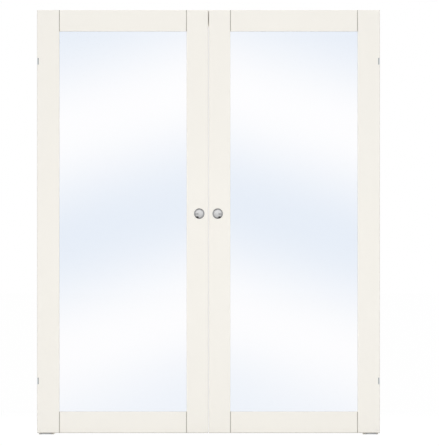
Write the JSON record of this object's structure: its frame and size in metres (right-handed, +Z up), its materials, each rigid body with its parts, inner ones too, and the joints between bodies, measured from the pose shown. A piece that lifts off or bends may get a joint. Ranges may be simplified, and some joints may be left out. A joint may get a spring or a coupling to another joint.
{
  "type": "double sliding door",
  "caption": "Double sliding door: two white framed glass leaves part in the middle, with cup pulls, hidden rollers and frame.",
  "frame": {"origin": "on the floor, under the line where the leaves meet, in the middle of the whole depth", "axes": "+X to the right seen from the front, +Y from the leaves to the wall, +Z up"},
  "size_m": [1.653, 0.1732, 2.048],
  "materials": {
    "leaf_paint": "satin white paint on wood",
    "bead_paint": "satin white paint on wood",
    "frame_paint": "satin white paint on wood",
    "glass": "clear float glass with a faint cool tint",
    "glazing_seal": "matt pale grey",
    "cup_chrome": "polished, with a fine brushed bowl",
    "rail_aluminium": "natural anodised extrusion",
    "stop_plastic": "matt black moulding",
    "buffer_rubber": "matt grey",
    "screw_steel": "zinc plated",
    "roller_steel": "turned steel",
    "plated_steel": "zinc plated sheet",
    "axle_steel": "turned steel",
    "guide_plastic": "natural white nylon"
  },
  "bodies": {
    "frame": {"bracket_screws": "screw_steel", "front_head_casing": "frame_paint", "head_lining": "frame_paint", "left_front_casing": "frame_paint", "left_guide_block": "guide_plastic", "left_guide_bracket": "plated_steel", "left_rear_casing": "frame_paint", "left_roller_axles": "axle_steel", "left_roller_clips": "axle_steel", "left_roller_plate": "plated_steel", "left_side_lining": "frame_paint", "rear_head_casing": "frame_paint", "right_front_casing": "frame_paint", "right_guide_block": "guide_plastic", "right_guide_bracket": "plated_steel", "right_rear_casing": "frame_paint", "right_roller_axles": "axle_steel", "right_roller_clips": "axle_steel", "right_roller_plate": "plated_steel", "right_side_lining": "frame_paint"},
    "right_leaf": {"right_outer_stile": "leaf_paint", "right_meeting_stile": "leaf_paint", "right_top_rail": "leaf_paint", "right_bottom_rail": "leaf_paint", "right_glass": "glass", "right_glazing_seal": "glazing_seal", "right_top_bead": "bead_paint", "right_bottom_bead": "bead_paint", "right_outer_bead": "bead_paint", "right_meeting_bead": "bead_paint", "right_running_rail": "rail_aluminium", "right_rail_screws": "screw_steel", "right_rail_stops": "stop_plastic", "right_edge_buffers": "buffer_rubber", "right_front_cup": "cup_chrome", "right_back_cup": "cup_chrome"},
    "left_leaf": {"left_outer_stile": "leaf_paint", "left_meeting_stile": "leaf_paint", "left_top_rail": "leaf_paint", "left_bottom_rail": "leaf_paint", "left_glass": "glass", "left_glazing_seal": "glazing_seal", "left_top_bead": "bead_paint", "left_bottom_bead": "bead_paint", "left_outer_bead": "bead_paint", "left_meeting_bead": "bead_paint", "left_running_rail": "rail_aluminium", "left_rail_screws": "screw_steel", "left_rail_stops": "stop_plastic", "left_edge_buffers": "buffer_rubber", "left_front_cup": "cup_chrome", "left_back_cup": "cup_chrome"},
    "right_inner_roller": {"right_inner_roller": "roller_steel"},
    "right_middle_roller": {"right_middle_roller": "roller_steel"},
    "right_outer_roller": {"right_outer_roller": "roller_steel"},
    "left_inner_roller": {"left_inner_roller": "roller_steel"},
    "left_middle_roller": {"left_middle_roller": "roller_steel"},
    "left_outer_roller": {"left_outer_roller": "roller_steel"}
  },
  "joints": [
    {"name": "right_leaf_slide", "type": "slide", "parent": "frame", "child": "right_leaf", "axis": [1, 0, 0], "range_m": [0, 0.614]},
    {"name": "right_inner_roller_turn", "type": "hinge", "parent": "frame", "child": "right_inner_roller", "pos_m": [0.656, -0.0544, 2.0122], "axis": [0, 1, 0], "continuous": true},
    {"name": "right_middle_roller_turn", "type": "hinge", "parent": "frame", "child": "right_middle_roller", "pos_m": [0.721, -0.0544, 2.0118], "axis": [0, 1, 0], "continuous": true},
    {"name": "right_outer_roller_turn", "type": "hinge", "parent": "frame", "child": "right_outer_roller", "pos_m": [0.786, -0.0544, 2.0122], "axis": [0, 1, 0], "continuous": true},
    {"name": "left_leaf_slide", "type": "slide", "parent": "frame", "child": "left_leaf", "axis": [-1, 0, 0], "range_m": [0, 0.614]},
    {"name": "left_inner_roller_turn", "type": "hinge", "parent": "frame", "child": "left_inner_roller", "pos_m": [-0.656, -0.0544, 2.0122], "axis": [0, 1, 0], "continuous": true},
    {"name": "left_middle_roller_turn", "type": "hinge", "parent": "frame", "child": "left_middle_roller", "pos_m": [-0.721, -0.0544, 2.0118], "axis": [0, 1, 0], "continuous": true},
    {"name": "left_outer_roller_turn", "type": "hinge", "parent": "frame", "child": "left_outer_roller", "pos_m": [-0.786, -0.0544, 2.0122], "axis": [0, 1, 0], "continuous": true}
  ],
  "couplings": [
    {"joint": "right_inner_roller_turn", "follows": "right_leaf_slide", "rad_per_m": 60.606},
    {"joint": "right_middle_roller_turn", "follows": "right_leaf_slide", "rad_per_m": -60.606},
    {"joint": "right_outer_roller_turn", "follows": "right_leaf_slide", "rad_per_m": 60.606},
    {"joint": "left_inner_roller_turn", "follows": "left_leaf_slide", "rad_per_m": -60.606},
    {"joint": "left_middle_roller_turn", "follows": "left_leaf_slide", "rad_per_m": 60.606},
    {"joint": "left_outer_roller_turn", "follows": "left_leaf_slide", "rad_per_m": -60.606}
  ]
}
